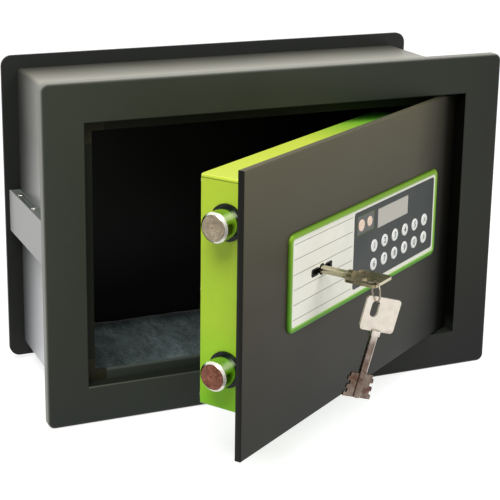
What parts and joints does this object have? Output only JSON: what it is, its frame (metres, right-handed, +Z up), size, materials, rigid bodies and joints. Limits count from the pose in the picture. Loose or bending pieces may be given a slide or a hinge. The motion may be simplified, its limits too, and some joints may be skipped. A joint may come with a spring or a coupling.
{
  "type": "wall safe",
  "caption": "Small steel wall safe with its door ajar, round side bolts, a double-bit key lock with a spare key on a ring, and an electronic keypad panel.",
  "frame": {"origin": "centre of the rear plate's outer face", "axes": "+Z up, +Y out of the rear face into the wall behind, so the front looks along -Y; +X to the hinge side"},
  "size_m": [0.39, 0.3129, 0.27],
  "materials": {
    "frame_paint": "satin grey powder coat",
    "body_paint": "satin pale grey coat",
    "rear_paint": "dark grey powder coat",
    "channel_paint": "light grey coat",
    "door_paint": "satin grey powder coat",
    "green_paint": "gloss green coat",
    "stop_paint": "dark grey coat",
    "felt": "felt",
    "steel": "machined",
    "screw_steel": "plated",
    "dark_steel": "black oxide",
    "brass": "machined",
    "nickel": "worn nickel plate",
    "green_plastic": "gloss",
    "pale_plastic": "satin",
    "grey_plastic": "satin",
    "black_plastic": "satin",
    "button_plastic": "satin",
    "display": "gloss",
    "lamp": "clear",
    "board": "lacquered",
    "cell_wrap": "sleeve"
  },
  "bodies": {
    "safe_body": {"front_frame": "frame_paint", "body_shell": "body_paint", "rear_plate": "rear_paint", "anchor_channels": "channel_paint", "channel_screws": "screw_steel", "door_stop_strips": "stop_paint", "stop_gussets": "stop_paint", "bolt_keeper": "dark_steel", "hinge_brackets": "dark_steel", "hinge_bushes": "brass", "floor_mat": "felt"},
    "door": {"door_plate": "door_paint", "hinge_blocks": "dark_steel", "hinge_pins": "steel", "door_pan": "green_paint", "back_cover": "green_paint", "cover_screws": "screw_steel", "bolt_bushes": "black_plastic", "lock_case": "steel", "chassis_plate": "steel", "chassis_posts": "steel", "rack_guide": "brass", "solenoid_body": "dark_steel", "fascia_border": "green_plastic", "fascia_panel": "pale_plastic", "keyhole_liner": "black_plastic", "keypad_bezel": "grey_plastic", "display_window": "display", "status_window": "grey_plastic", "status_leds": "lamp", "keypad_board": "board", "button_switches": "black_plastic", "board_posts": "black_plastic", "control_board": "board", "battery_tray": "black_plastic", "batteries": "cell_wrap"},
    "bolts": {"bolt_upper": "steel", "bolt_lower": "steel", "bolt_bar": "steel", "bolt_nuts": "screw_steel", "drive_rack": "steel"},
    "rotor": {"lock_rotor": "brass"},
    "levers": {"lever_pack": "brass"},
    "plunger": {"solenoid_plunger": "steel"},
    "main_key": {"key": "nickel"},
    "ring": {"key_ring": "nickel"},
    "spare": {"spare_key": "nickel"},
    "battery_lid": {"battery_cover": "black_plastic"},
    "key_1": {"button_1": "button_plastic"},
    "key_2": {"button_2": "button_plastic"},
    "key_3": {"button_3": "button_plastic"},
    "key_4": {"button_4": "button_plastic"},
    "key_5": {"button_5": "button_plastic"},
    "key_a": {"button_a": "button_plastic"},
    "key_6": {"button_6": "button_plastic"},
    "key_7": {"button_7": "button_plastic"},
    "key_8": {"button_8": "button_plastic"},
    "key_9": {"button_9": "button_plastic"},
    "key_0": {"button_0": "button_plastic"},
    "key_b": {"button_b": "button_plastic"}
  },
  "joints": [
    {"name": "door_swing", "type": "hinge", "parent": "safe_body", "child": "door", "pos_m": [0.148, -0.136, 0], "axis": [0, 0, 1], "range_deg": [-33.3, 71.7]},
    {"name": "key_turn", "type": "hinge", "parent": "door", "child": "rotor", "pos_m": [-0.03497, -0.23704, 0.0093], "axis": [-0.549, 0.8358, 0], "range_deg": [0, 360]},
    {"name": "bolt_throw", "type": "slide", "parent": "door", "child": "bolts", "axis": [-0.8358, -0.549, 0], "range_m": [0, 0.02356]},
    {"name": "key_withdraw", "type": "slide", "parent": "rotor", "child": "main_key", "axis": [0.549, -0.8358, 0], "range_m": [0, 0.05]},
    {"name": "ring_swing", "type": "hinge", "parent": "main_key", "child": "ring", "pos_m": [-0.00076, -0.30442, 0.0117], "axis": [0.8358, 0.549, 0], "range_deg": [-6, 9]},
    {"name": "spare_swing", "type": "hinge", "parent": "ring", "child": "spare", "pos_m": [-0.00076, -0.30442, -0.0027], "axis": [0.1167, 0.9932, 0], "range_deg": [-30, 30]},
    {"name": "lever_lift", "type": "slide", "parent": "door", "child": "levers", "axis": [0, 0, 1], "range_m": [0, 0.0015], "stiffness_N_per_m": 200},
    {"name": "plunger_slide", "type": "slide", "parent": "door", "child": "plunger", "axis": [-0.549, 0.8358, 0], "range_m": [0, 0.005], "stiffness_N_per_m": 60},
    {"name": "battery_lid_slide", "type": "slide", "parent": "door", "child": "battery_lid", "axis": [-0.8358, -0.549, 0], "range_m": [0, 0.04]},
    {"name": "press_1", "type": "slide", "parent": "door", "child": "key_1", "axis": [-0.549, 0.8358, 0], "range_m": [0, 0.0008], "stiffness_N_per_m": 800},
    {"name": "press_2", "type": "slide", "parent": "door", "child": "key_2", "axis": [-0.549, 0.8358, 0], "range_m": [0, 0.0008], "stiffness_N_per_m": 800},
    {"name": "press_3", "type": "slide", "parent": "door", "child": "key_3", "axis": [-0.549, 0.8358, 0], "range_m": [0, 0.0008], "stiffness_N_per_m": 800},
    {"name": "press_4", "type": "slide", "parent": "door", "child": "key_4", "axis": [-0.549, 0.8358, 0], "range_m": [0, 0.0008], "stiffness_N_per_m": 800},
    {"name": "press_5", "type": "slide", "parent": "door", "child": "key_5", "axis": [-0.549, 0.8358, 0], "range_m": [0, 0.0008], "stiffness_N_per_m": 800},
    {"name": "press_a", "type": "slide", "parent": "door", "child": "key_a", "axis": [-0.549, 0.8358, 0], "range_m": [0, 0.0008], "stiffness_N_per_m": 800},
    {"name": "press_6", "type": "slide", "parent": "door", "child": "key_6", "axis": [-0.549, 0.8358, 0], "range_m": [0, 0.0008], "stiffness_N_per_m": 800},
    {"name": "press_7", "type": "slide", "parent": "door", "child": "key_7", "axis": [-0.549, 0.8358, 0], "range_m": [0, 0.0008], "stiffness_N_per_m": 800},
    {"name": "press_8", "type": "slide", "parent": "door", "child": "key_8", "axis": [-0.549, 0.8358, 0], "range_m": [0, 0.0008], "stiffness_N_per_m": 800},
    {"name": "press_9", "type": "slide", "parent": "door", "child": "key_9", "axis": [-0.549, 0.8358, 0], "range_m": [0, 0.0008], "stiffness_N_per_m": 800},
    {"name": "press_0", "type": "slide", "parent": "door", "child": "key_0", "axis": [-0.549, 0.8358, 0], "range_m": [0, 0.0008], "stiffness_N_per_m": 800},
    {"name": "press_b", "type": "slide", "parent": "door", "child": "key_b", "axis": [-0.549, 0.8358, 0], "range_m": [0, 0.0008], "stiffness_N_per_m": 800}
  ],
  "couplings": [
    {"joint": "key_turn", "follows": "bolt_throw", "rad_per_m": 266.67}
  ]
}
